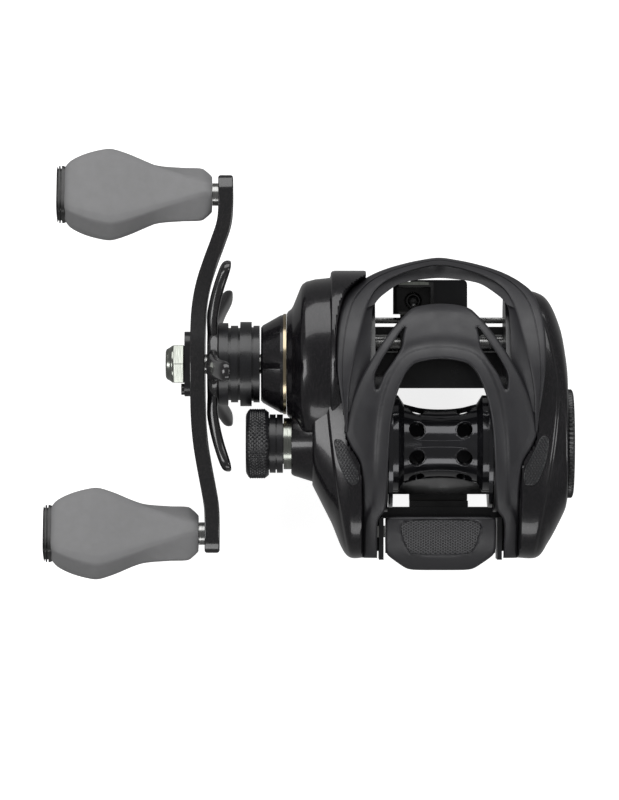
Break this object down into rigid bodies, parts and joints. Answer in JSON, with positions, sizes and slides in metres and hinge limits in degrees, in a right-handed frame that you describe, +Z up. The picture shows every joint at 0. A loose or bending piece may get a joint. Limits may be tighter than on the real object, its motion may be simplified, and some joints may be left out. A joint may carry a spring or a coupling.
{
  "type": "baitcasting reel",
  "caption": "Low-profile baitcasting reel: hooded frame on a two-tab foot, flanged spool, levelwind guide, double-knob crank, star drag, tension knob, brake dial and thumb bar.",
  "frame": {"origin": "the underside of the reel foot, midway between its two tips, in the plane between the side plates", "axes": "+X towards the palm side (the handle is on -X), +Y towards the rod tip, +Z up, away from the rod"},
  "size_m": [0.1409, 0.1146, 0.0539],
  "materials": {
    "frame_black": "satin black anodised",
    "hood_grey": "matte dark grey",
    "cover_black": "gloss black with fine metallic flake",
    "steel": "machined",
    "black_steel": "black oxide",
    "champagne_metal": "champagne anodised, polished",
    "silver_metal": "bright, slightly warm",
    "brass": "machined",
    "carbon_washer": "woven friction washer",
    "white_plastic": "acetal",
    "arm_grey": "gloss dark grey with flake",
    "knob_rubber": "matte grey grip",
    "black_plastic": "satin black",
    "spool_black": "gloss black anodised",
    "pad_grey": "moulded hexagonal texture"
  },
  "bodies": {
    "frame": {"frame": "frame_black", "front_hood": "hood_grey", "gear_cover": "cover_black", "palm_cover": "cover_black", "spool_bearing_handle": "steel", "spool_bearing_palm": "steel", "drive_shaft_bearing": "steel", "anti_reverse_bearing": "steel", "bearing_cone": "cover_black", "trim_ring": "champagne_metal", "pinion_bearing": "steel", "yoke_posts": "steel", "worm_bushes": "black_plastic", "guide_bar": "steel", "tension_collar": "silver_metal", "brake_hub": "black_plastic"},
    "drive": {"drive_shaft": "steel", "main_gear": "brass", "drag_washers": "carbon_washer", "drag_plate": "steel", "drag_pressure_plate": "steel", "drag_spring_washers": "steel", "ratchet_wheel": "steel", "levelwind_drive_gear": "white_plastic", "anti_reverse_sleeve": "steel", "handle_arm": "arm_grey", "nut_retainer": "frame_black", "handle_nut": "silver_metal", "retainer_screw": "black_steel", "knob_front_post": "steel", "knob_rear_post": "steel"},
    "star": {"star_drag": "arm_grey", "star_collar": "frame_black"},
    "knob_front": {"knob_front": "knob_rubber", "knob_front_bush": "black_plastic", "knob_front_cap": "black_plastic"},
    "knob_rear": {"knob_rear": "knob_rubber", "knob_rear_bush": "black_plastic", "knob_rear_cap": "black_plastic"},
    "spool": {"spool": "spool_black", "spool_shaft": "steel", "spool_pin": "steel"},
    "yoke": {"clutch_yoke": "black_plastic"},
    "pinion": {"pinion": "brass"},
    "thumb_bar": {"thumb_bar": "hood_grey", "thumb_pad": "pad_grey", "clutch_plate": "steel"},
    "worm": {"worm_shaft": "steel", "worm_gear": "white_plastic"},
    "line_guide": {"line_guide": "black_plastic", "line_guide_eye": "silver_metal", "pawl_cap": "silver_metal", "guide_cap": "silver_metal"},
    "pawl": {"pawl": "brass"},
    "tension_knob": {"tension_knob": "frame_black", "tension_rings": "frame_black", "tension_shim": "brass"},
    "brake_dial": {"brake_dial": "frame_black"},
    "magnet_carrier": {"magnet_carrier": "black_plastic", "brake_magnets": "silver_metal"}
  },
  "joints": [
    {"name": "handle_turn", "type": "hinge", "parent": "frame", "child": "drive", "pos_m": [-0.04, 0.0073, 0.0198], "axis": [1, 0, 0], "continuous": true},
    {"name": "star_turn", "type": "hinge", "parent": "drive", "child": "star", "pos_m": [-0.058, 0.0073, 0.0198], "axis": [1, 0, 0], "range_deg": [-270, 270]},
    {"name": "knob_front_spin", "type": "hinge", "parent": "drive", "child": "knob_front", "pos_m": [-0.078, 0.0523, 0.0198], "axis": [1, 0, 0], "continuous": true},
    {"name": "knob_rear_spin", "type": "hinge", "parent": "drive", "child": "knob_rear", "pos_m": [-0.082, -0.0377, 0.0198], "axis": [1, 0, 0], "continuous": true},
    {"name": "spool_spin", "type": "hinge", "parent": "frame", "child": "spool", "pos_m": [0, -0.0138, 0.0232], "axis": [1, 0, 0], "continuous": true},
    {"name": "thumb_press", "type": "slide", "parent": "frame", "child": "thumb_bar", "axis": [0, 0, -1], "range_m": [0, 0.004]},
    {"name": "yoke_slide", "type": "slide", "parent": "frame", "child": "yoke", "axis": [-1, 0, 0], "range_m": [0, 0.0016]},
    {"name": "pinion_spin", "type": "hinge", "parent": "yoke", "child": "pinion", "pos_m": [-0.025, -0.0138, 0.0232], "axis": [1, 0, 0], "continuous": true},
    {"name": "worm_spin", "type": "hinge", "parent": "frame", "child": "worm", "pos_m": [0, 0.0127, 0.00909], "axis": [1, 0, 0], "continuous": true},
    {"name": "guide_slide", "type": "slide", "parent": "frame", "child": "line_guide", "axis": [1, 0, 0], "range_m": [-0.0045, 0.0183]},
    {"name": "pawl_swivel", "type": "hinge", "parent": "line_guide", "child": "pawl", "pos_m": [-0.0069, 0.0127, 0.013], "axis": [0, 0, 1], "range_deg": [-35, 35]},
    {"name": "tension_turn", "type": "hinge", "parent": "frame", "child": "tension_knob", "pos_m": [-0.046, -0.0138, 0.0232], "axis": [1, 0, 0], "range_deg": [-180, 180]},
    {"name": "dial_turn", "type": "hinge", "parent": "frame", "child": "brake_dial", "pos_m": [0.034, -0.0138, 0.0232], "axis": [1, 0, 0], "range_deg": [0, 270]},
    {"name": "magnet_slide", "type": "slide", "parent": "frame", "child": "magnet_carrier", "axis": [1, 0, 0], "range_m": [0, 0.0013]}
  ],
  "couplings": [
    {"joint": "spool_spin", "follows": "handle_turn", "ratio": -6.4},
    {"joint": "pinion_spin", "follows": "handle_turn", "ratio": -6.4},
    {"joint": "worm_spin", "follows": "handle_turn", "ratio": -1.3077},
    {"joint": "yoke_slide", "follows": "thumb_press", "ratio": 0.4},
    {"joint": "magnet_slide", "follows": "dial_turn", "m_per_rad": 0.000275}
  ]
}
